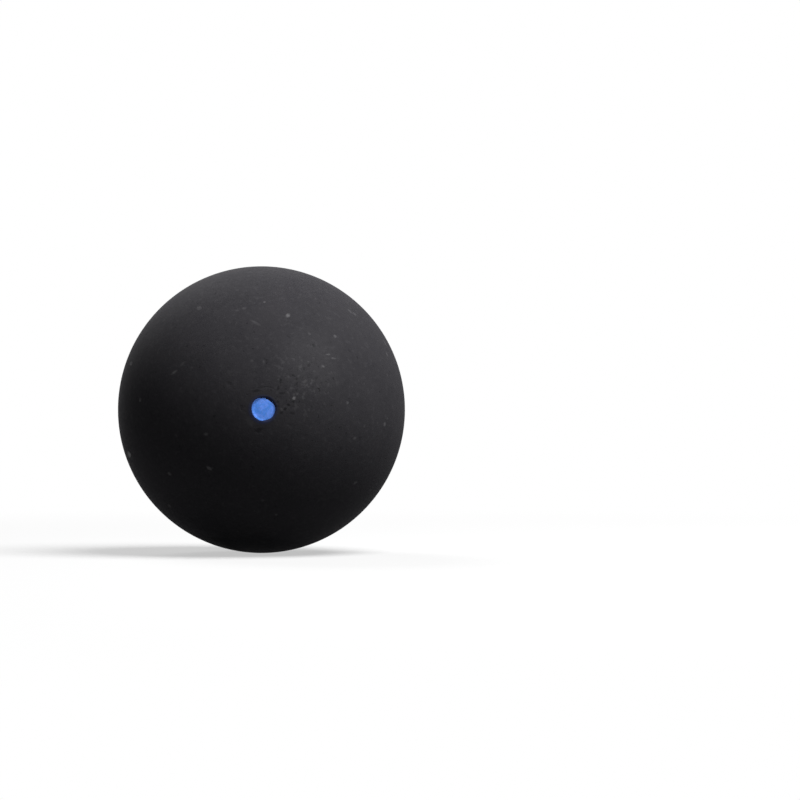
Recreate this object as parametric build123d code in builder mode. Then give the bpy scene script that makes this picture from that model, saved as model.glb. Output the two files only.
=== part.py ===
from build123d import *
from math import asin, degrees, sqrt
import os

# Squash ball: two moulded rubber half-shells cemented rim to rim round a sealed air chamber, with an ink
# dot printed on the pole of one of them. Millimetres. The origin is the ball's centre, +Z is up, and the
# dot faces -Y.

# Driving dimensions of the ball
BALL_DIAMETER = 40.0
WALL_THICKNESS = 5.2

# Driving dimensions of the cemented joint
CEMENT_THICKNESS = 0.2  # bond line between the two flat rims
RIM_BEVEL = 0.6  # bevel on the inner edge of each rim, which the squeezed-out cement fills
BEAD_HEIGHT = 0.35  # how far the cement bead stands into the chamber

# Driving dimensions of the printed dot
DOT_DIAMETER = 3.2
INK_THICKNESS = 0.05
INK_FEATHER = 0.15  # width of the dot's edge over which the ink thins to nothing

# Sizes that follow from them
BALL_RADIUS = BALL_DIAMETER / 2
CHAMBER_RADIUS = BALL_RADIUS - WALL_THICKNESS
RIM_HEIGHT = CEMENT_THICKNESS / 2  # of each rim from the joint plane
FILM_RADIUS = BALL_RADIUS + INK_THICKNESS

# A section through the ball's axis has its X out from the axis and its Y towards the dot
SECTION = -Plane.XY
BALL_CENTRE = (0, 0)
POLE_ANGLE = 90  # of the dot's pole, from the joint plane


def on_sphere(radius, height):
    """The point of a section where a sphere about the ball's centre stands this far from the joint plane."""
    return (sqrt(radius**2 - height**2), height)


def angle_across(radius, offset):
    """The angle at the ball's centre, in degrees, that this offset spans on a sphere of this radius."""
    return degrees(asin(offset / radius))


# Corners of a rim in section, which the rubber and the cement share
RIM_OUTER_CORNER = on_sphere(BALL_RADIUS, RIM_HEIGHT)
RIM_BEVEL_CORNER = (CHAMBER_RADIUS + RIM_BEVEL, RIM_HEIGHT)
CHAMBER_CORNER = on_sphere(CHAMBER_RADIUS, RIM_HEIGHT + RIM_BEVEL)

os.makedirs("parts", exist_ok=True)

# Half-shell on the dot's side: a thick bowl with a flat rim, bevelled on its inner edge
with BuildPart() as dot_half_shell:
    with BuildSketch(SECTION):
        with BuildLine():
            rim_angle = angle_across(BALL_RADIUS, RIM_HEIGHT)
            bevel_angle = angle_across(CHAMBER_RADIUS, RIM_HEIGHT + RIM_BEVEL)
            outside = CenterArc(BALL_CENTRE, BALL_RADIUS, rim_angle, POLE_ANGLE - rim_angle)
            inside = CenterArc(BALL_CENTRE, CHAMBER_RADIUS, bevel_angle, POLE_ANGLE - bevel_angle)
            Polyline(outside @ 0, RIM_BEVEL_CORNER, inside @ 0)
            Line(outside @ 1, inside @ 1)
        make_face()
    revolve(axis=Axis.Y)
dot_half_shell.part.label = "dot_half_shell"
export_step(dot_half_shell.part, "parts/dot_half_shell.step")

# Half-shell on the plain side: a second moulding from the same cavity, turned over
with BuildPart() as plain_half_shell:
    mirror(dot_half_shell.part, about=Plane.XZ)
plain_half_shell.part.label = "plain_half_shell"
export_step(plain_half_shell.part, "parts/plain_half_shell.step")

# Cured cement: a thin ring between the rims, buffed flush outside, with a rounded bead in the chamber
with BuildPart() as seam_cement:
    with BuildSketch(SECTION):
        with BuildLine():
            dot_side_face = Polyline(RIM_OUTER_CORNER, RIM_BEVEL_CORNER, CHAMBER_CORNER)
            plain_side_face = mirror(dot_side_face, about=Plane.XZ)
            flush_angle = angle_across(BALL_RADIUS, RIM_HEIGHT)
            CenterArc(BALL_CENTRE, BALL_RADIUS, -flush_angle, 2 * flush_angle)
            ThreePointArc(dot_side_face @ 1, (CHAMBER_RADIUS - BEAD_HEIGHT, 0), plain_side_face @ 1)
        make_face()
    revolve(axis=Axis.Y)
seam_cement.part.label = "seam_cement"
export_step(seam_cement.part, "parts/seam_cement.step")

# Printed dot: a film of ink that follows the ball's surface round the pole and thins out at its edge
with BuildPart() as speed_dot:
    with BuildSketch(SECTION):
        with BuildLine():
            edge_angle = angle_across(BALL_RADIUS, DOT_DIAMETER / 2)
            shoulder_angle = angle_across(FILM_RADIUS, DOT_DIAMETER / 2 - INK_FEATHER)
            underside = CenterArc(BALL_CENTRE, BALL_RADIUS, POLE_ANGLE - edge_angle, edge_angle)
            top = CenterArc(BALL_CENTRE, FILM_RADIUS, POLE_ANGLE - shoulder_angle, shoulder_angle)
            Line(underside @ 0, top @ 0)
            Line(underside @ 1, top @ 1)
        make_face()
    revolve(axis=Axis.Y)
speed_dot.part.label = "speed_dot"
export_step(speed_dot.part, "parts/speed_dot.step")
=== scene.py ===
from math import cos, pi, radians, sin, sqrt, tau

import bmesh
import bpy
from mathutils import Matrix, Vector


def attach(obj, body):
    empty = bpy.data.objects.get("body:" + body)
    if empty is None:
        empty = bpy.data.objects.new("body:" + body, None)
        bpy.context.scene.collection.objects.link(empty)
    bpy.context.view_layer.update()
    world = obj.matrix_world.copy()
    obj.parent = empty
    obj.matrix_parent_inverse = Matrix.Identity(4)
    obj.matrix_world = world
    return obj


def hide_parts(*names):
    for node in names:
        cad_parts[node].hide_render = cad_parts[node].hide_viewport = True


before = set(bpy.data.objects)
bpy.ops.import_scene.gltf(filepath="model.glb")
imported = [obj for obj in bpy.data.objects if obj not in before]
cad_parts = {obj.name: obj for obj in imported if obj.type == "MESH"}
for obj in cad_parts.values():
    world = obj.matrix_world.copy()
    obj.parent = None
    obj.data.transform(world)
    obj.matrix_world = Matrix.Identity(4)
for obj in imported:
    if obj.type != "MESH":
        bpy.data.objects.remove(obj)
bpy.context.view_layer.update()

# Squash ball: two rubber half-shells cemented rim to rim, with a printed dot on the pole of the front one.
# Sizes are in millimetres until a mesh is finished. The dot faces -Y and the seam lies in the XZ plane.

MILLIMETRE = 0.001

# Sizes of the ball and its joint
BALL_RADIUS = 20.0
CHAMBER_RADIUS = 14.8
RIM_HEIGHT = 0.1
RIM_BEVEL = 0.6
BEAD_HEIGHT = 0.35
RIM_OUTER_RADIUS = sqrt(BALL_RADIUS**2 - RIM_HEIGHT**2)
RIM_INNER_RADIUS = CHAMBER_RADIUS + RIM_BEVEL
BEVEL_HEIGHT = RIM_HEIGHT + RIM_BEVEL
BEVEL_INNER_RADIUS = sqrt(CHAMBER_RADIUS**2 - BEVEL_HEIGHT**2)

# Sizes of the printed dot and of the faint blue haze round it
DOT_RADIUS = 1.6
INK_THICKNESS = 0.03
HAZE_RADIUS = 2.15

# Sizes of the shallow dish that the dot lies in, and how far its middle is from the dot's
DISH_DEPTH = 0.16
DISH_FLOOR_RADIUS = 1.3
DISH_RIM_RADIUS = 1.78
DISH_RIGHT, DISH_UP = 0.15, 0.05

# Sizes of the faint ring round the dish, which is not quite round
RING_RADIUS = 3.05
RING_DEPTH = 0.022
RING_HALF_WIDTH = 0.24
RING_WANDER = 0.6

# Sizes of the groove that buffing leaves along the seam, and how far inside the ball's radius the cement lies
GROOVE_DEPTH = 0.045
GROOVE_HALF_WIDTH = 0.38
CEMENT_SINK = 0.03

# Vertices nearer to each other than this become one
MERGE_DISTANCE = 0.0005

# Colours of the rubber, from the painted shade in its pits to its scuffs, and of the haze of ink on it. The
# scuff grey also paints a sheen and a highlight on the dot side.
PIT_SHADE_BLACK = (0.0090, 0.0088, 0.0098, 1.0)
DARK_CLOUD = (0.0183, 0.0177, 0.0201, 1.0)
LIGHT_CLOUD = (0.0215, 0.0206, 0.0231, 1.0)
TOOTH_GREY = (0.0250, 0.0242, 0.0268, 1.0)
GRAIN_GREY = (0.0275, 0.0266, 0.0294, 1.0)
HAIRLINE_GREY = (0.0400, 0.0388, 0.0420, 1.0)
FLECK_GREY = (0.0420, 0.0408, 0.0440, 1.0)
SCUFF_AND_PAINTED_LIGHT_GREY = (0.34, 0.335, 0.345, 1.0)
HAZE_BLUE = (0.012, 0.022, 0.085, 1.0)

# Colours of the cement
DARK_CEMENT = (0.0095, 0.0092, 0.0098, 1.0)
LIGHT_CEMENT = (0.0140, 0.0136, 0.0145, 1.0)
CEMENT_DUST = (0.08, 0.08, 0.085, 1.0)

# Colours of the ink
DEEP_BLUE = (0.070, 0.245, 0.80, 1.0)
BRIGHT_BLUE = (0.134, 0.300, 0.93, 1.0)
THIN_BLUE = (0.088, 0.215, 0.56, 1.0)
EDGE_BLUE = (0.035, 0.080, 0.26, 1.0)


class Wiring:
    """Adds nodes to one tree. An input is given either a socket, which is linked, or a plain value."""

    # A mix node has sockets of the same name for each kind of data, so those for colour go by number
    MIX_LOW, MIX_HIGH, MIX_RESULT = 6, 7, 2

    def __init__(self, tree):
        self.tree = tree

    def feed(self, socket, value):
        if isinstance(value, bpy.types.NodeSocket):
            self.tree.links.new(value, socket)
        else:
            socket.default_value = value

    def add(self, kind, inputs=None, **settings):
        made = self.tree.nodes.new(kind)
        for name, value in settings.items():
            setattr(made, name, value)
        for key, value in (inputs or {}).items():
            self.feed(made.inputs[key], value)
        return made

    def math(self, operation, *values):
        made = self.add("ShaderNodeMath", dict(enumerate(values)), operation=operation)
        return made.outputs["Value"]

    def vector(self, operation, *values):
        made = self.add("ShaderNodeVectorMath", dict(enumerate(values)), operation=operation)
        return made.outputs["Value" if operation in ("LENGTH", "DOT_PRODUCT", "DISTANCE") else "Vector"]

    def scaled(self, vector, factor):
        made = self.add("ShaderNodeVectorMath", {"Vector": vector, "Scale": factor}, operation="SCALE")
        return made.outputs["Vector"]

    def split(self, vector):
        made = self.add("ShaderNodeSeparateXYZ", {"Vector": vector})
        return made.outputs["X"], made.outputs["Y"], made.outputs["Z"]

    def combine(self, x, y, z):
        return self.add("ShaderNodeCombineXYZ", {"X": x, "Y": y, "Z": z}).outputs["Vector"]

    def between(self, value, low, high, to_low=0.0, to_high=1.0, curve="SMOOTHSTEP"):
        """The value's way from low to high, as a way from to_low to to_high, held at both ends."""
        made = self.add(
            "ShaderNodeMapRange",
            {"Value": value, "From Min": low, "From Max": high, "To Min": to_low, "To Max": to_high},
            interpolation_type=curve,
        )
        return made.outputs["Result"]

    def noise(self, place, scale, detail=2.0, roughness=0.5):
        made = self.add(
            "ShaderNodeTexNoise",
            {"Vector": place, "Scale": scale, "Detail": detail, "Roughness": roughness},
        )
        return made.outputs["Factor" if "Factor" in made.outputs else "Fac"]

    def cells(self, place, scale):
        """The distance from the nearest of many scattered points, and a random colour for each of them."""
        made = self.add("ShaderNodeTexVoronoi", {"Vector": place, "Scale": scale})
        return made.outputs["Distance"], made.outputs["Color"]

    def blend(self, factor, low, high):
        made = self.add("ShaderNodeMix", data_type="RGBA")
        self.feed(made.inputs["Factor"], factor)
        self.feed(made.inputs[self.MIX_LOW], low)
        self.feed(made.inputs[self.MIX_HIGH], high)
        return made.outputs[self.MIX_RESULT]

    def tint(self, body, mask, strength, colour):
        """The body's colour, with up to this strength of another one where the mask is."""
        return self.blend(self.math("MULTIPLY", mask, strength), body, colour)


def new_tree(name, kind, inputs, outputs):
    """A node group with named sockets. Returns its wiring, its inputs by name and its output node."""
    tree = bpy.data.node_groups.new(name, kind)
    for side, sockets in (("INPUT", inputs), ("OUTPUT", outputs)):
        for label, socket_type in sockets.items():
            tree.interface.new_socket(name=label, in_out=side, socket_type=socket_type)
    given = tree.nodes.new("NodeGroupInput")
    return Wiring(tree), given.outputs, tree.nodes.new("NodeGroupOutput")


FLOAT = "NodeSocketFloat"
INTEGER = "NodeSocketInt"
VECTOR = "NodeSocketVector"
GEOMETRY = "NodeSocketGeometry"
MATERIAL = "NodeSocketMaterial"


# Shader groups that the finishes share

def make_buffed_grain():
    """Fine tooth that buffing leaves: a height, a shade that is lighter on the high spots, and hairlines."""
    w, given, result = new_tree(
        "buffed grain",
        "ShaderNodeTree",
        {"Place": VECTOR, "Grain Size": FLOAT},
        {"Height": FLOAT, "Shade": FLOAT, "Hairlines": FLOAT},
    )
    finer_step = 2.7
    finer_share = 0.35
    rising_squeeze = (2.4, 0.5, 0.45)
    lying_squeeze = (0.4, 0.5, 2.6)
    frequency = w.math("DIVIDE", 1.0, given["Grain Size"])
    fine = w.noise(given["Place"], frequency, detail=3.0, roughness=0.6)
    finer = w.noise(given["Place"], w.math("MULTIPLY", frequency, finer_step), detail=1.0)
    height = w.math("MULTIPLY_ADD", finer, finer_share, w.math("MULTIPLY", fine, 1 - finer_share))
    w.feed(result.inputs["Height"], height)
    w.feed(result.inputs["Shade"], w.between(height, 0.3, 0.7))
    rising = w.noise(w.vector("MULTIPLY", given["Place"], rising_squeeze), frequency, detail=1.0)
    lying = w.noise(w.vector("MULTIPLY", given["Place"], lying_squeeze), frequency, detail=1.0)
    w.feed(result.inputs["Hairlines"], w.between(w.math("MAXIMUM", rising, lying), 0.66, 0.78))
    return w.tree


def make_fine_dust():
    """Pale specks that cling to a matt surface: a mask of small round spots, scattered and uneven."""
    w, given, result = new_tree(
        "fine dust",
        "ShaderNodeTree",
        {"Place": VECTOR, "Spacing": FLOAT, "Speck Radius": FLOAT, "Share": FLOAT},
        {"Mask": FLOAT},
    )
    near, chance = w.cells(given["Place"], w.math("DIVIDE", 1.0, given["Spacing"]))
    pick, strength, size = w.split(chance)
    radius = w.math("DIVIDE", given["Speck Radius"], given["Spacing"])
    radius = w.math("MULTIPLY", radius, w.between(size, 0.0, 1.0, 0.5, 1.2, "LINEAR"))
    spot = w.between(near, 0.0, radius, 1.0, 0.0)
    chosen = w.math("LESS_THAN", pick, given["Share"])
    faint = w.math("POWER", strength, 2.0)
    w.feed(result.inputs["Mask"], w.math("MULTIPLY", spot, w.math("MULTIPLY", chosen, faint)))
    return w.tree


def make_scuff_mark():
    """One mark, pale or dark: a soft-edged spot about a centre, drawn out along a direction."""
    w, given, result = new_tree(
        "scuff mark",
        "ShaderNodeTree",
        {"Place": VECTOR, "Centre": VECTOR, "Along": VECTOR, "Half Length": FLOAT, "Half Width": FLOAT},
        {"Mask": FLOAT},
    )
    offset = w.vector("SUBTRACT", given["Place"], given["Centre"])
    lengthwise = w.vector("DOT_PRODUCT", offset, given["Along"])
    across = w.vector("LENGTH", w.vector("SUBTRACT", offset, w.scaled(given["Along"], lengthwise)))
    long_share = w.math("DIVIDE", lengthwise, given["Half Length"])
    wide_share = w.math("DIVIDE", across, given["Half Width"])
    reach = w.vector("LENGTH", w.combine(long_share, wide_share, 0.0))
    full_reach = 0.25
    w.feed(result.inputs["Mask"], w.between(reach, full_reach, 1.0, 1.0, 0.0))
    return w.tree


BUFFED_GRAIN = make_buffed_grain()
FINE_DUST = make_fine_dust()
SCUFF_MARK = make_scuff_mark()

# Pale scuffs on the dot's side, as seen from the front: how far right and up of the dot in millimetres, half
# the length, half the width, the slope in degrees, and how plain the mark is. The first is a broad, faint
# pale patch, partly rubbed and partly a painted sheen where the main lamp falls. A faint one beside the dot
# at its lower left is a painted highlight on the dish's lit wall.
DOT_SIDE_SCUFFS_AND_PAINTED_LIGHT = (
    # Painted sheen: a broad pale patch where the main lamp's sheen falls, partly rubbed
    (6.4, 6.4, 6.5, 6.5, 45, 0.022),
    (3.4, 12.7, 0.56, 0.38, 55, 0.165),
    (9.8, 9.9, 0.38, 0.31, 20, 0.11),
    (-1.0, 11.7, 1.15, 0.26, -30, 0.05),
    (8.8, 7.4, 0.52, 0.19, 2, 0.12),
    (9.5, 6.9, 0.62, 0.19, -5, 0.12),
    (8.1, 5.8, 0.40, 0.25, -25, 0.13),
    (4.15, 1.5, 0.36, 0.30, 60, 0.27),
    (4.6, 2.1, 0.32, 0.26, 30, 0.07),
    (2.5, 0.0, 0.34, 0.28, -40, 0.07),
    (6.8, 6.9, 0.34, 0.28, 0, 0.05),
    (6.3, 10.2, 0.40, 0.30, -50, 0.06),
    (7.3, 3.2, 0.62, 0.20, -60, 0.05),
    (2.1, 4.0, 0.30, 0.26, 0, 0.05),
    (16.7, -2.0, 0.42, 0.42, 0, 0.12),
    (12.4, -3.9, 0.42, 0.32, 20, 0.08),
    (12.6, -10.0, 0.55, 0.36, 25, 0.10),
    (11.4, 0.9, 0.36, 0.28, 0, 0.10),
    (12.0, 13.5, 0.60, 0.45, -50, 0.06),
    (12.7, 13.1, 0.55, 0.45, -45, 0.06),
    (17.0, 9.2, 0.70, 0.40, -62, 0.08),
    (17.2, 7.6, 0.50, 0.40, -65, 0.07),
    (-11.9, 5.0, 0.75, 0.28, 35, 0.12),
    (-10.8, 6.1, 0.65, 0.36, 40, 0.05),
    (-8.6, 13.8, 0.70, 0.50, -30, 0.06),
    (-2.5, 13.7, 0.48, 0.34, 10, 0.055),
    (-16.6, 1.3, 0.42, 0.42, 0, 0.18),
    (-18.0, 6.35, 0.45, 0.85, 70, 0.20),
    (-18.3, -6.2, 0.62, 1.30, -71, 0.90),
    # Painted highlight: a faint pale crescent on the dish's lower-left wall, which faces the lamp
    (-1.75, -1.65, 1.30, 0.62, -45, 0.025),
    (-7.6, -3.3, 0.48, 0.30, 5, 0.12),
    (-7.2, -7.9, 0.62, 0.34, -30, 0.20),
    (-12.6, -8.7, 0.50, 0.38, -20, 0.16),
    (-12.7, -13.2, 0.55, 0.45, 15, 0.16),
)

# Pale scuffs on the plain side, given in the same way and also as seen from the front, through the ball
PLAIN_SIDE_SCUFFS = (
    (-4.4, 9.6, 0.52, 0.36, 40, 0.16),
    (-8.9, 5.2, 0.40, 0.30, -15, 0.12),
    (-6.1, 1.3, 0.95, 0.24, 28, 0.06),
    (-12.6, -1.8, 0.45, 0.34, 60, 0.12),
    (-10.2, 11.5, 0.60, 0.40, 35, 0.08),
    (-2.3, -5.6, 0.55, 0.28, -35, 0.10),
    (-15.2, 7.0, 0.50, 0.45, -70, 0.10),
    (-9.0, -9.4, 0.48, 0.36, 10, 0.14),
    (0.8, 3.9, 0.36, 0.28, 0, 0.09),
    (3.6, 13.4, 0.70, 0.34, -20, 0.08),
    (6.7, 6.2, 0.44, 0.32, 50, 0.13),
    (7.4, 5.5, 0.58, 0.20, 42, 0.09),
    (11.5, -3.3, 0.50, 0.36, -25, 0.12),
    (5.0, -8.7, 0.40, 0.30, 15, 0.12),
    (14.9, 9.0, 0.65, 0.45, 58, 0.09),
    (13.2, -11.1, 0.55, 0.42, -40, 0.12),
)

# Dark nicks and rubbed spots near the dot, given in the same way. The relief sinks them, and painted shade
# darkens them.
DOT_SIDE_NICKS = (
    (2.3, 3.9, 0.36, 0.26, -10, 0.80),
    (2.0, 2.8, 0.42, 0.24, 75, 0.65),
    (2.5, 2.1, 0.60, 0.24, 5, 0.55),
    (4.5, 3.4, 0.45, 0.22, 65, 0.65),
    (4.5, 4.05, 0.30, 0.24, 50, 0.60),
    (7.2, 4.2, 0.38, 0.24, 55, 0.55),
    (6.15, 5.9, 0.45, 0.28, 60, 0.50),
    (6.8, 8.6, 0.42, 0.30, -50, 0.70),
    (3.4, 0.55, 0.34, 0.26, -30, 0.85),
    (2.95, 0.0, 0.34, 0.26, 40, 0.80),
    (4.05, 1.0, 0.30, 0.20, 80, 0.80),
    (1.95, 1.0, 0.34, 0.24, 60, 0.70),
    (2.45, -0.5, 0.36, 0.26, 30, 0.65),
    (3.9, -0.55, 0.55, 0.28, -10, 0.50),
    (-0.9, 2.45, 0.85, 0.30, 8, 0.60),
    (-0.5, -2.75, 0.85, 0.34, 14, 0.55),
)

# Dark nicks on the plain side, which the relief sinks and painted shade darkens
PLAIN_SIDE_NICKS = (
    (-7.4, 8.1, 0.40, 0.26, -40, 0.65),
    (-5.6, 5.9, 0.34, 0.24, 55, 0.60),
    (-3.1, 6.8, 0.36, 0.26, 10, 0.55),
    (-8.0, 3.0, 0.42, 0.22, 70, 0.60),
    (4.4, -3.0, 0.45, 0.26, -20, 0.50),
)

# The middle of the patch on each side where the rubber is most pitted, and how far that reaches, in full and
# at all
DOT_SIDE_PITTED_PLACE = (5.2, -19.0, 3.4)
PLAIN_SIDE_PITTED_PLACE = (-6.0, 18.0, 6.3)
PITTED_CORE = 1.0
PITTED_RADIUS = 6.5

# Which way each side lies from the seam, and which pattern of unevenness it has
DOT_SIDE = -1
PLAIN_SIDE = 1
PATTERN_SEEDS = {DOT_SIDE: 1, PLAIN_SIDE: 2}


def lying_on_side(side, right, up, slope):
    """The point of this side of the ball that is this far right and up, and the way along the surface there
    that has this slope, all as seen from the front."""
    centre = Vector((right, side * sqrt(BALL_RADIUS**2 - right**2 - up**2), up))
    run, rise = cos(radians(slope)), sin(radians(slope))
    along = Vector((run, -(right * run + up * rise) / centre.y, rise))
    return centre, along.normalized()


def new_finish(name):
    """A material whose Principled shader is fed by the returned wiring, and the place on the ball in mm."""
    material = bpy.data.materials.new(name)
    material.use_nodes = True
    w = Wiring(material.node_tree)
    shader = material.node_tree.nodes["Principled BSDF"]
    place = w.scaled(w.add("ShaderNodeTexCoord").outputs["Object"], 1 / MILLIMETRE)
    return material, w, shader, place


def place_group(w, group, values):
    """Puts a shared group into a material with this finish's own values, and gives its outputs."""
    made = w.add("ShaderNodeGroup", node_tree=group)
    for key, value in values.items():
        w.feed(made.inputs[key], value)
    return made.outputs


def join_marks(w, place, side, marks):
    """A mask of these marks on one side of the ball, each as plain as its row says."""
    joined = 0.0
    for right, up, half_length, half_width, slope, plainness in marks:
        centre, along = lying_on_side(side, right, up, slope)
        mark = place_group(
            w,
            SCUFF_MARK,
            {
                "Place": place,
                "Centre": centre,
                "Along": along,
                "Half Length": half_length,
                "Half Width": half_width,
            },
        )["Mask"]
        joined = w.math("MAXIMUM", joined, w.math("MULTIPLY", mark, plainness))
    return joined


def add_bump(w, shader, height, distance, strength):
    """Gives the shader a fine relief, in which a height of 1 stands this distance out, in metres."""
    bump = w.add("ShaderNodeBump", {"Height": height, "Distance": distance, "Strength": strength})
    w.feed(shader.inputs["Normal"], bump.outputs["Normal"])


def make_rubber(name, side, scuffs_and_painted_light, nicks, pitted_place, ink_haze):
    """Matt black rubber: soft mottling, buffed grain, pale flecks, pits and nicks darkened with painted
    shade, dust and pale scuff marks, with a painted sheen and a painted highlight on the dot side.
    Ink haze is how plain the faint blue is that the printing leaves round the dot."""
    material, w, shader, place = new_finish(name)
    grain = place_group(w, BUFFED_GRAIN, {"Place": place, "Grain Size": 0.34})
    clouds = w.between(w.noise(place, 0.22, detail=3.0), 0.3, 0.7)
    body = w.blend(clouds, DARK_CLOUD, LIGHT_CLOUD)
    tooth = w.between(w.noise(place, 1.25, detail=3.0, roughness=0.6), 0.32, 0.68)
    body = w.tint(body, tooth, strength=0.55, colour=TOOTH_GREY)
    body = w.tint(body, grain["Shade"], strength=0.38, colour=GRAIN_GREY)
    body = w.tint(body, grain["Hairlines"], strength=0.25, colour=HAIRLINE_GREY)

    # Flecks and pits, of which there are more near the pitted place. The pits and nicks are sunk in the
    # relief and darkened with painted shade.
    pitted_way = w.vector("DISTANCE", place, pitted_place)
    nearness = w.between(pitted_way, PITTED_CORE, PITTED_RADIUS, 1.0, 0.0)
    flecks = w.between(w.noise(place, 1.5, detail=2.0, roughness=0.6), 0.54, 0.7)
    fleck_strength = w.math("MULTIPLY_ADD", nearness, 0.5, 0.25)
    body = w.tint(body, flecks, fleck_strength, colour=FLECK_GREY)
    pit_softness = 0.13
    pit_plainness = 0.7
    pit_level = w.math("MULTIPLY_ADD", nearness, 0.07, 0.35)
    hollow = w.math("SUBTRACT", pit_level, w.noise(place, 1.5, detail=2.5, roughness=0.6))
    pit = w.math("MULTIPLY", w.between(hollow, 0.0, pit_softness), pit_plainness)
    pit = w.math("MAXIMUM", pit, join_marks(w, place, side, nicks))
    # Painted shade: the pits and nicks are darkened where the relief sinks them
    with_pit_shade = w.blend(pit, body, PIT_SHADE_BLACK)

    # Dust and scuffs, with the dot side's painted sheen and highlight, a little broken up, and the haze of
    # ink
    dust = place_group(
        w, FINE_DUST, {"Place": place, "Spacing": 1.7, "Speck Radius": 0.34, "Share": 0.16}
    )["Mask"]
    dust_strength = 0.16
    pale = w.math(
        "MAXIMUM", w.math("MULTIPLY", dust, dust_strength), join_marks(w, place, side, scuffs_and_painted_light)
    )
    broken = w.between(w.noise(place, 4.0, detail=2.0), 0.25, 0.6, 0.45, 1.0)
    pale = w.math("MULTIPLY", pale, broken)
    with_scuffs_and_painted_light = w.blend(pale, with_pit_shade, SCUFF_AND_PAINTED_LIGHT_GREY)
    x, _, z = w.split(place)
    dot_way = w.vector("LENGTH", w.combine(x, 0.0, z))
    haze = w.between(dot_way, DOT_RADIUS, HAZE_RADIUS, ink_haze, 0.0)
    w.feed(shader.inputs["Base Color"], w.blend(haze, with_scuffs_and_painted_light, HAZE_BLUE))
    w.feed(shader.inputs["Roughness"], w.between(grain["Shade"], 0.0, 1.0, 0.80, 0.90, "LINEAR"))
    shader.inputs["Specular IOR Level"].default_value = 0.035
    pit_height = -0.8
    height = w.math("MULTIPLY_ADD", pit, pit_height, grain["Height"])
    add_bump(w, shader, height, distance=0.035 * MILLIMETRE, strength=0.8)
    return material


def make_cement():
    """Cured rubber cement, a little darker and smoother than the rubber on both sides of it."""
    material, w, shader, place = new_finish("cured rubber cement")
    grain = place_group(w, BUFFED_GRAIN, {"Place": place, "Grain Size": 0.2})
    dust = place_group(
        w, FINE_DUST, {"Place": place, "Spacing": 1.2, "Speck Radius": 0.2, "Share": 0.2}
    )["Mask"]
    patches = w.between(w.noise(place, 0.5, detail=2.0), 0.35, 0.65)
    body = w.blend(patches, DARK_CEMENT, LIGHT_CEMENT)
    w.feed(shader.inputs["Base Color"], w.tint(body, dust, strength=0.4, colour=CEMENT_DUST))
    w.feed(shader.inputs["Roughness"], w.between(grain["Shade"], 0.0, 1.0, 0.6, 0.75, "LINEAR"))
    shader.inputs["Specular IOR Level"].default_value = 0.08
    add_bump(w, shader, grain["Height"], distance=0.02 * MILLIMETRE, strength=0.6)
    return material


def make_ink():
    """Printed blue ink: a mottled film, darker where it thins out along its edge."""
    material, w, shader, place = new_finish("printed blue ink")
    grain = place_group(w, BUFFED_GRAIN, {"Place": place, "Grain Size": 0.28})
    x, _, z = w.split(place)
    from_centre = w.vector("LENGTH", w.combine(x, 0.0, z))
    patches = w.between(w.noise(place, 1.3, detail=3.0, roughness=0.6), 0.38, 0.62)
    film = w.blend(patches, DEEP_BLUE, BRIGHT_BLUE)
    film = w.tint(film, w.between(grain["Height"], 0.5, 0.36), strength=0.7, colour=THIN_BLUE)
    fade_start = 0.74 * DOT_RADIUS
    fade_end = 1.02 * DOT_RADIUS
    fade_strength = 0.68
    faded = w.between(from_centre, fade_start, fade_end, 0.0, fade_strength)
    w.feed(shader.inputs["Base Color"], w.blend(faded, film, EDGE_BLUE))
    w.feed(shader.inputs["Roughness"], w.between(grain["Shade"], 0.0, 1.0, 0.62, 0.75, "LINEAR"))
    shader.inputs["Specular IOR Level"].default_value = 0.15
    add_bump(w, shader, grain["Height"], distance=0.015 * MILLIMETRE, strength=0.6)
    return material


DOT_SIDE_RUBBER = make_rubber(
    "buffed black rubber dot side",
    DOT_SIDE,
    DOT_SIDE_SCUFFS_AND_PAINTED_LIGHT,
    DOT_SIDE_NICKS,
    DOT_SIDE_PITTED_PLACE,
    ink_haze=0.42,
)
PLAIN_SIDE_RUBBER = make_rubber(
    "buffed black rubber plain side",
    PLAIN_SIDE,
    PLAIN_SIDE_SCUFFS,
    PLAIN_SIDE_NICKS,
    PLAIN_SIDE_PITTED_PLACE,
    ink_haze=0.0,
)
CEMENT = make_cement()
INK = make_ink()


# Half-shells

ROW_LABELS = ("Pole Rows", "Field Rows", "Edge Rows", "Rim Rows", "Bevel Rows", "Chamber Rows")


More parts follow.
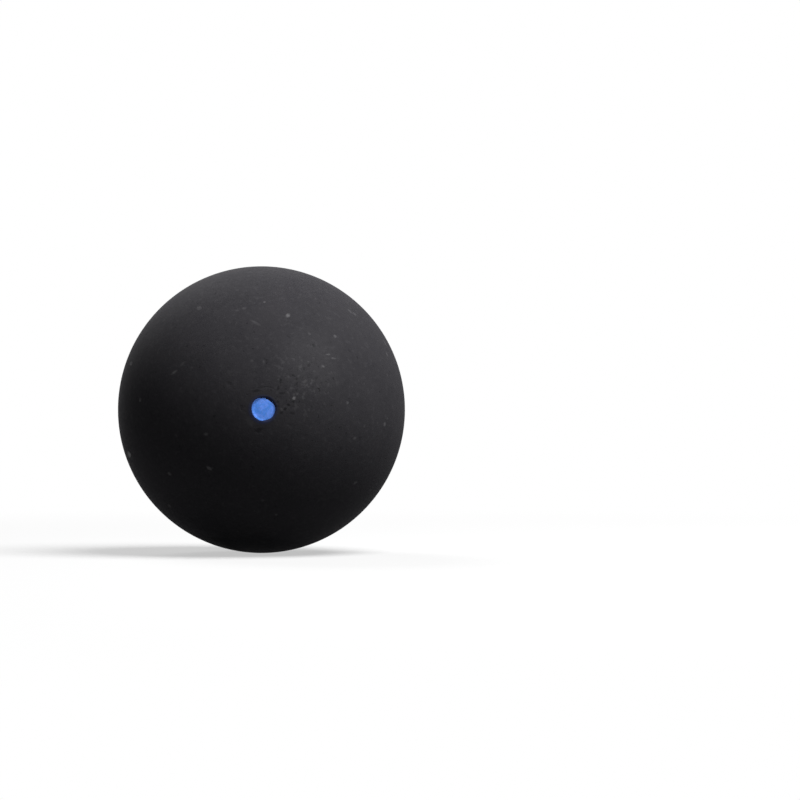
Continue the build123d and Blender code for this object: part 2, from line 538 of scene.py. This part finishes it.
def make_half_shell_tree():
    """A closed bowl laid in rows round its axis: from the pole down the outside to the rim, over the rim and
    its bevel, and up the chamber's wall to the inner pole. A fan closes each end."""
    sizes = (
        "Ball Radius",
        "Chamber Radius",
        "Rim Height",
        "Rim Outer Radius",
        "Rim Inner Radius",
        "Bevel Inner Radius",
        "Bevel Height",
        "Pole Reach",
        "Edge Reach",
        "Facing",
        "Groove Depth",
        "Groove Half Width",
        "Dish Depth",
        "Dish Floor Radius",
        "Dish Rim Radius",
        "Dish Right",
        "Dish Up",
        "Ring Depth",
        "Ring Radius",
        "Ring Half Width",
        "Unevenness",
        "Grain Depth",
        "Pit Depth",
    )
    sockets = dict.fromkeys(sizes, FLOAT)
    sockets.update(dict.fromkeys(ROW_LABELS + ("Columns", "Seed"), INTEGER))
    sockets["Rubber"] = MATERIAL
    w, given, result = new_tree("half shell", "GeometryNodeTree", sockets, {"Shell": GEOMETRY})
    ball_radius = given["Ball Radius"]
    chamber_radius = given["Chamber Radius"]

    # A tube of rows, and how far along each of its six stretches a vertex lies
    row_sums = [given[ROW_LABELS[0]]]
    for label in ROW_LABELS[1:]:
        row_sums.append(w.math("ADD", row_sums[-1], given[label]))
    tube = w.add(
        "GeometryNodeMeshCylinder",
        {"Vertices": given["Columns"], "Side Segments": row_sums[-1], "Radius": 1.0, "Depth": 1.0},
        fill_type="TRIANGLE_FAN",
    ).outputs["Mesh"]
    tube_x, tube_y, tube_z = w.split(w.add("GeometryNodeInputPosition").outputs["Position"])
    along = w.math("ADD", tube_z, 0.5)
    ends = [w.math("DIVIDE", rows, row_sums[-1]) for rows in row_sums]
    starts = [0.0] + ends[:-1]
    stretches = [w.between(along, low, high, curve="LINEAR") for low, high in zip(starts, ends)]
    pole_way, field_way, edge_way, rim_way, bevel_way, chamber_way = stretches

    # Section of the shell: radius from the axis, and height from the joint plane. The first row and the last
    # lie a little off the poles, and the fans close what is left.
    first_row = 0.03
    outside_length = w.math(
        "MULTIPLY", ball_radius, w.math("ARCCOSINE", w.math("DIVIDE", given["Rim Height"], ball_radius))
    )
    field_length = w.math(
        "SUBTRACT", w.math("SUBTRACT", outside_length, given["Pole Reach"]), given["Edge Reach"]
    )
    arc = w.math("MULTIPLY_ADD", pole_way, w.math("SUBTRACT", given["Pole Reach"], first_row), first_row)
    arc = w.math("MULTIPLY_ADD", field_way, field_length, arc)
    arc = w.math("MULTIPLY_ADD", edge_way, given["Edge Reach"], arc)
    outside_angle = w.math("DIVIDE", arc, ball_radius)
    bevel_angle = w.math("ARCCOSINE", w.math("DIVIDE", given["Bevel Height"], chamber_radius))
    last_row = w.math("DIVIDE", first_row, chamber_radius)
    chamber_angle = w.between(chamber_way, 0.0, 1.0, bevel_angle, last_row, "LINEAR")
    radius = w.math("MULTIPLY", ball_radius, w.math("SINE", outside_angle))
    rim_width = w.math("SUBTRACT", given["Rim Inner Radius"], given["Rim Outer Radius"])
    bevel_width = w.math("SUBTRACT", given["Bevel Inner Radius"], given["Rim Inner Radius"])
    radius = w.math("MULTIPLY_ADD", rim_way, rim_width, radius)
    radius = w.math("MULTIPLY_ADD", bevel_way, bevel_width, radius)
    chamber_step = w.math("SUBTRACT", w.math("SINE", chamber_angle), w.math("SINE", bevel_angle))
    radius = w.math("MULTIPLY_ADD", chamber_step, chamber_radius, radius)
    height = w.math("MULTIPLY", ball_radius, w.math("COSINE", outside_angle))
    bevel_rise = w.math("SUBTRACT", given["Bevel Height"], given["Rim Height"])
    height = w.math("MULTIPLY_ADD", bevel_way, bevel_rise, height)
    chamber_rise = w.math("SUBTRACT", w.math("COSINE", chamber_angle), w.math("COSINE", bevel_angle))
    height = w.math("MULTIPLY_ADD", chamber_rise, chamber_radius, height)
    level = w.vector("NORMALIZE", w.combine(tube_x, 0.0, w.math("MULTIPLY", tube_y, -1.0)))
    place = w.vector(
        "ADD", w.scaled(level, radius), w.combine(0.0, w.math("MULTIPLY", height, -1.0), 0.0)
    )
    place = w.vector("MULTIPLY", place, w.combine(given["Facing"], given["Facing"], 1.0))

    # Relief, which only goes inwards: the seam's groove, the dot's dish and ring, unevenness, grain and pits
    place_x, place_y, place_z = w.split(place)
    seam_way = w.math("SUBTRACT", w.math("ABSOLUTE", place_y), given["Rim Height"])
    groove = w.between(seam_way, 0.0, given["Groove Half Width"], given["Groove Depth"], 0.0)
    dot_way = w.vector("LENGTH", w.combine(place_x, 0.0, place_z))
    dish_x = w.math("SUBTRACT", place_x, given["Dish Right"])
    dish_z = w.math("SUBTRACT", place_z, given["Dish Up"])
    dish_way = w.vector("LENGTH", w.combine(dish_x, 0.0, dish_z))
    dish = w.between(dish_way, given["Dish Floor Radius"], given["Dish Rim Radius"], given["Dish Depth"], 0.0)
    seed_step = (3.1, 7.7, 5.3)
    shifted = w.vector("ADD", place, w.scaled(seed_step, given["Seed"]))
    ring_noise = w.noise(shifted, 0.45, detail=1.0)
    ring_wander = w.math("MULTIPLY_ADD", ring_noise, 2 * RING_WANDER, -RING_WANDER)
    ring_way = w.math("SUBTRACT", dot_way, w.math("ADD", given["Ring Radius"], ring_wander))
    ring = w.between(w.math("ABSOLUTE", ring_way), 0.0, given["Ring Half Width"], given["Ring Depth"], 0.0)
    ring = w.math("MULTIPLY", ring, w.between(w.noise(shifted, 0.7, detail=1.5), 0.48, 0.6))
    uneven = w.math("MULTIPLY", w.noise(shifted, 0.16, detail=1.0), given["Unevenness"])
    grain = w.math("MULTIPLY", w.noise(shifted, 1.1, detail=1.5), given["Grain Depth"])
    pit_reach = 0.3
    pitted_share = 0.45
    pit_near, pit_chance = w.cells(shifted, 0.62)
    pit_pick, pit_share, _ = w.split(pit_chance)
    pit_form = w.between(pit_near, 0.0, pit_reach, 1.0, 0.0)
    pit = w.math("MULTIPLY", pit_form, w.math("LESS_THAN", pit_pick, pitted_share))
    pit = w.math("MULTIPLY", pit, w.math("MULTIPLY", pit_share, given["Pit Depth"]))
    clear_width = 0.4
    clear_radius = w.math("ADD", given["Dish Rim Radius"], clear_width)
    clear_of_dot = w.between(dot_way, given["Dish Rim Radius"], clear_radius)
    depth = w.math("ADD", w.math("MULTIPLY", pit, clear_of_dot), w.math("ADD", uneven, grain))
    depth = w.math("ADD", depth, w.math("ADD", groove, w.math("ADD", dish, ring)))
    outside_end = ends[ROW_LABELS.index("Edge Rows")]
    rounding = 0.0001
    is_outside = w.math("LESS_THAN", along, w.math("ADD", outside_end, rounding))
    depth = w.math("MULTIPLY", depth, is_outside)
    moulded = w.vector("SUBTRACT", place, w.scaled(w.vector("NORMALIZE", place), depth))
    shaped = w.add(
        "GeometryNodeSetPosition", {"Geometry": tube, "Position": w.scaled(moulded, MILLIMETRE)}
    ).outputs["Geometry"]
    smooth = w.add("GeometryNodeSetShadeSmooth", {"Geometry": shaped}).outputs["Geometry"]
    plain = w.add("GeometryNodeRealizeInstances", {"Geometry": smooth}).outputs["Geometry"]
    finished = w.add("GeometryNodeSetMaterial", {"Geometry": plain, "Material": given["Rubber"]})
    w.feed(result.inputs["Shell"], finished.outputs["Geometry"])
    return w.tree


def grow(name, tree, values):
    """Runs a geometry tree with these named values and keeps the result as a plain mesh object."""
    seedling = bpy.data.objects.new(name + "_nodes", bpy.data.meshes.new(name + "_nodes"))
    bpy.context.scene.collection.objects.link(seedling)
    modifier = seedling.modifiers.new(name, "NODES")
    modifier.node_group = tree
    for item in tree.interface.items_tree:
        if item.in_out == "INPUT":
            modifier[item.identifier] = values[item.name]
    depsgraph = bpy.context.evaluated_depsgraph_get()
    mesh = bpy.data.meshes.new_from_object(seedling.evaluated_get(depsgraph), depsgraph=depsgraph)
    mesh.name = name
    seedling.modifiers.remove(modifier)
    bpy.data.objects.remove(seedling)
    piece = bpy.data.objects.new(name, mesh)
    bpy.context.scene.collection.objects.link(piece)
    return piece


HALF_SHELL_TREE = make_half_shell_tree()
HALF_SHELL_VALUES = {
    "Ball Radius": BALL_RADIUS,
    "Chamber Radius": CHAMBER_RADIUS,
    "Rim Height": RIM_HEIGHT,
    "Rim Outer Radius": RIM_OUTER_RADIUS,
    "Rim Inner Radius": RIM_INNER_RADIUS,
    "Bevel Inner Radius": BEVEL_INNER_RADIUS,
    "Bevel Height": BEVEL_HEIGHT,
    "Columns": 420,
    "Pole Rows": 60,
    "Field Rows": 128,
    "Edge Rows": 12,
    "Rim Rows": 4,
    "Bevel Rows": 2,
    "Chamber Rows": 26,
    "Pole Reach": 3.6,
    "Edge Reach": 0.7,
    "Groove Depth": GROOVE_DEPTH,
    "Groove Half Width": GROOVE_HALF_WIDTH,
    "Dish Floor Radius": DISH_FLOOR_RADIUS,
    "Dish Rim Radius": DISH_RIM_RADIUS,
    "Dish Right": DISH_RIGHT,
    "Dish Up": DISH_UP,
    "Ring Radius": RING_RADIUS,
    "Ring Half Width": RING_HALF_WIDTH,
    "Unevenness": 0.012,
    "Grain Depth": 0.009,
    "Pit Depth": 0.045,
}


def make_half_shell(name, side, dish_depth, ring_depth, rubber):
    """The half-shell on this side of the seam, with a dish and a ring of these depths round its pole."""
    values = dict(HALF_SHELL_VALUES)
    values["Facing"] = -float(side)
    values["Dish Depth"] = dish_depth
    values["Ring Depth"] = ring_depth
    values["Rubber"] = rubber
    values["Seed"] = PATTERN_SEEDS[side]
    return grow(name, HALF_SHELL_TREE, values)


def finish_mesh(name, mesh_work, material):
    """Closes a bmesh in millimetres into a smooth object in metres."""
    bmesh.ops.remove_doubles(mesh_work, verts=mesh_work.verts, dist=MERGE_DISTANCE)
    bmesh.ops.recalc_face_normals(mesh_work, faces=mesh_work.faces)
    bmesh.ops.scale(mesh_work, vec=(MILLIMETRE,) * 3, verts=mesh_work.verts)
    mesh = bpy.data.meshes.new(name)
    mesh_work.to_mesh(mesh)
    mesh_work.free()
    mesh.shade_smooth()
    mesh.materials.append(material)
    piece = bpy.data.objects.new(name, mesh)
    bpy.context.scene.collection.objects.link(piece)
    return piece


def skin(mesh_work, loops, closed):
    """Faces between neighbouring loops of vertices, and from the last loop to the first where closed."""
    pairs = list(zip(loops, loops[1:]))
    if closed:
        pairs.append((loops[-1], loops[0]))
    for low, high in pairs:
        count = len(low)
        for i in range(count):
            j = (i + 1) % count
            mesh_work.faces.new((low[i], low[j], high[j], high[i]))


# Cement ring

def make_seam_cement():
    """The ring of cured cement: its outer edge wanders a little, and a rounded bead stands in the chamber."""
    segments = 540
    bead_steps = 8
    corner_drop = 0.012
    mesh_work = bmesh.new()
    loops = []
    for i in range(segments):
        turn = tau * i / segments
        # The wander goes from 0 to 1, so the edge lies 0.7 to 1.3 times the sink inside the ball's radius
        wander = 0.5 + 0.3 * sin(9 * turn + 0.6) + 0.2 * sin(23 * turn + 2.1)
        outer = BALL_RADIUS - CEMENT_SINK * (0.7 + 0.6 * wander)
        section = [
            (outer - corner_drop, RIM_HEIGHT),
            (outer, 0.5 * RIM_HEIGHT),
            (outer, -0.5 * RIM_HEIGHT),
            (outer - corner_drop, -RIM_HEIGHT),
            (RIM_INNER_RADIUS, -RIM_HEIGHT),
        ]
        # The bead stands 0.7 to 1 times its full height into the chamber
        bead = BEAD_HEIGHT * (0.85 + 0.15 * sin(7 * turn + 1.0) * sin(3 * turn))
        for step in range(bead_steps + 1):
            angle = pi * step / bead_steps
            section.append((BEVEL_INNER_RADIUS - bead * sin(angle), -BEVEL_HEIGHT * cos(angle)))
        section.append((RIM_INNER_RADIUS, RIM_HEIGHT))
        loops.append([mesh_work.verts.new((r * cos(turn), y, r * sin(turn))) for r, y in section])
    skin(mesh_work, loops, closed=True)
    return finish_mesh("seam_cement_visual", mesh_work, CEMENT)


# Printed dot

# Rows of the ink film from the dot's centre to its edge: their share of the way, and how thick the ink is, as
# a share of its full thickness. The last row meets the rubber, and the underside leads back below that.
FILM_ROWS = (
    (0.0, 0.8),
    (0.15, 0.8),
    (0.3, 0.82),
    (0.45, 0.8),
    (0.6, 0.84),
    (0.72, 0.9),
    (0.8, 1.0),
    (0.87, 1.0),
    (0.92, 0.9),
    (0.96, 0.65),
    (0.985, 0.3),
    (1.0, -0.3),
)
UNDERSIDE_ROWS = (
    (0.9, -0.8),
    (0.5, -0.8),
    (0.0, -0.8),
)


def dish_surface(x, z):
    """How far the dish's rubber stands from the ball's centre, this far right and up of the dot's centre."""
    way = sqrt((x - DISH_RIGHT) ** 2 + (z - DISH_UP) ** 2)
    share = min(1.0, max(0.0, (way - DISH_FLOOR_RADIUS) / (DISH_RIM_RADIUS - DISH_FLOOR_RADIUS)))
    return BALL_RADIUS - DISH_DEPTH * (1 - share * share * (3 - 2 * share))


# Dents in the dot's printed edge: where they lie round it in degrees, their depth as a share of the dot's
# radius, and half their width in degrees. The deepest is at the upper right, and the narrow one is a nick at
# the top.
EDGE_DENTS = (
    (56, 0.115, 34),
    (92, 0.03, 30),
    (100, 0.06, 9),
    (185, 0.045, 40),
    (232, 0.055, 35),
    (282, 0.07, 36),
)


def dot_edge(turn):
    """How far the dot's printed edge lies from its centre: nearly round, with a few dents."""
    waver = 0.004
    edge = 1.0 + waver * sin(3 * turn + 1.0) + waver * sin(7 * turn)
    for where, depth, half_width in EDGE_DENTS:
        offset = (turn - radians(where) + pi) % tau - pi
        closeness = max(0.0, 1 - (offset / radians(half_width)) ** 2)
        edge -= depth * closeness**2
    return DOT_RADIUS * edge


def make_speed_dot():
    """The ink film: it follows the dish, gathers into a low bead at its edge and thins to nothing there."""
    segments = 144
    ripple_share = 0.08
    mesh_work = bmesh.new()
    loops = []
    for share, thickness in FILM_ROWS + UNDERSIDE_ROWS:
        loop = []
        for i in range(segments):
            turn = tau * i / segments
            way = share * dot_edge(turn)
            x, z = way * cos(turn), way * sin(turn)
            ripple = 1.0 + ripple_share * sin(3 * turn + 5 * share) * sin(9 * share)
            radius = dish_surface(x, z) + INK_THICKNESS * thickness * ripple
            loop.append(mesh_work.verts.new((x, -sqrt(radius**2 - way**2), z)))
        loops.append(loop)
    skin(mesh_work, loops, closed=False)
    return finish_mesh("speed_dot_visual", mesh_work, INK)


front_half = make_half_shell("dot_half_shell_visual", DOT_SIDE, DISH_DEPTH, RING_DEPTH, DOT_SIDE_RUBBER)
back_half = make_half_shell("plain_half_shell_visual", PLAIN_SIDE, 0.0, 0.0, PLAIN_SIDE_RUBBER)
cement = make_seam_cement()
dot = make_speed_dot()
for piece, node, slot in (
    (front_half, "dot_half_shell", "rubber"),
    (back_half, "plain_half_shell", "rubber"),
    (cement, "seam_cement", "cement"),
    (dot, "speed_dot", "dot_ink"),
):
    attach(piece, "root")
    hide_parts(node)


# Studio: a pale floor that goes over into white, a white surround and soft lamps

WHITE = (1.0, 1.0, 1.0, 1.0)

# The floor's size in metres, and how far from its middle it begins to turn white and is all white
FLOOR_SIZE = 6.0
FLOOR_NEAR = 60.0
FLOOR_FAR = 220.0

# Greys of the floor for the light that it sends to the ball and for where it is seen, and its glow there
FLOOR_UNSEEN_GREY = (0.12, 0.12, 0.12, 1.0)
FLOOR_SEEN_GREY = (0.20, 0.20, 0.20, 1.0)
FLOOR_GLOW = 0.52

# Strength of the surround for the light that it sends to the ball; where it is seen, it is 1
SURROUND_LIGHT = 0.025


def seen_directly(w):
    """1 for rays from the camera, and for those that a gloss or a clear piece sends on, else 0."""
    path = w.add("ShaderNodeLightPath").outputs
    sent_on = w.math("MAXIMUM", path["Is Glossy Ray"], path["Is Transmission Ray"])
    return w.math("MAXIMUM", path["Is Camera Ray"], sent_on)


def make_floor():
    """A matt floor that glows where it is seen directly, takes the ball's shadow and turns white far out."""
    bpy.ops.mesh.primitive_plane_add(size=FLOOR_SIZE, location=(0.0, 0.0, -BALL_RADIUS * MILLIMETRE))
    floor = bpy.context.object
    floor.name = "floor"
    material = bpy.data.materials.new("pale floor")
    material.use_nodes = True
    w = Wiring(material.node_tree)
    material.node_tree.nodes.clear()
    seen = seen_directly(w)
    place = w.scaled(w.add("ShaderNodeTexCoord").outputs["Object"], 1 / MILLIMETRE)
    far = w.between(w.vector("LENGTH", place), FLOOR_NEAR, FLOOR_FAR)
    grey = w.blend(seen, FLOOR_UNSEEN_GREY, FLOOR_SEEN_GREY)
    paper = w.add("ShaderNodeBsdfDiffuse", {"Color": grey})
    glow = w.add("ShaderNodeEmission", {"Color": WHITE, "Strength": w.math("MULTIPLY", seen, FLOOR_GLOW)})
    near = w.add("ShaderNodeAddShader", {0: paper.outputs[0], 1: glow.outputs[0]})
    white = w.add("ShaderNodeEmission", {"Color": WHITE, "Strength": seen})
    mixed = w.add(
        "ShaderNodeMixShader",
        {"Fac": w.math("MULTIPLY", far, seen), 1: near.outputs[0], 2: white.outputs[0]},
    )
    w.add("ShaderNodeOutputMaterial", {"Surface": mixed.outputs[0]})
    floor.data.materials.append(material)


def make_surround():
    """A surround that looks white and throws only a little light on the ball."""
    world = bpy.data.worlds.new("white surround")
    bpy.context.scene.world = world
    world.use_nodes = True
    w = Wiring(world.node_tree)
    background = world.node_tree.nodes["Background"]
    background.inputs["Color"].default_value = WHITE
    strength = w.between(seen_directly(w), 0.0, 1.0, SURROUND_LIGHT, 1.0, "LINEAR")
    w.feed(background.inputs["Strength"], strength)


def add_lamp(name, sideways, off_axis, distance, size, power):
    """A round soft lamp that faces the ball. Sideways is its angle round the view, from the right towards the
    top, and off_axis its angle from the front, both in degrees. Distance and size are in metres."""
    turn, lean = radians(sideways), radians(off_axis)
    place = Vector((sin(lean) * cos(turn), -cos(lean), sin(lean) * sin(turn))) * distance
    data = bpy.data.lights.new(name, "AREA")
    data.shape = "DISK"
    data.size = size
    data.energy = power
    lamp = bpy.data.objects.new(name, data)
    lamp.location = place
    lamp.rotation_mode = "QUATERNION"
    lamp.rotation_quaternion = place.to_track_quat("Z", "Y")
    bpy.context.scene.collection.objects.link(lamp)


def add_camera():
    """A long lens, level with the ball, that keeps the ball left of the picture's middle."""
    place = Vector((-3.8, -450.0, -0.8)) * MILLIMETRE
    aim = Vector((19.32, 0.0, 1.35)) * MILLIMETRE
    data = bpy.data.cameras.new("camera")
    data.lens = 145.0
    data.sensor_width = 36.0
    data.clip_start = 0.01
    camera = bpy.data.objects.new("camera", data)
    camera.location = place
    camera.rotation_mode = "QUATERNION"
    camera.rotation_quaternion = (aim - place).to_track_quat("-Z", "Y")
    bpy.context.scene.collection.objects.link(camera)
    bpy.context.scene.camera = camera


make_floor()
make_surround()
add_lamp("main_softbox", sideways=64, off_axis=74.5, distance=0.6, size=0.45, power=9.9)
add_lamp("top_back_softbox", sideways=115, off_axis=134, distance=0.6, size=0.28, power=2.2)
add_camera()
bpy.context.scene.view_settings.view_transform = "Standard"
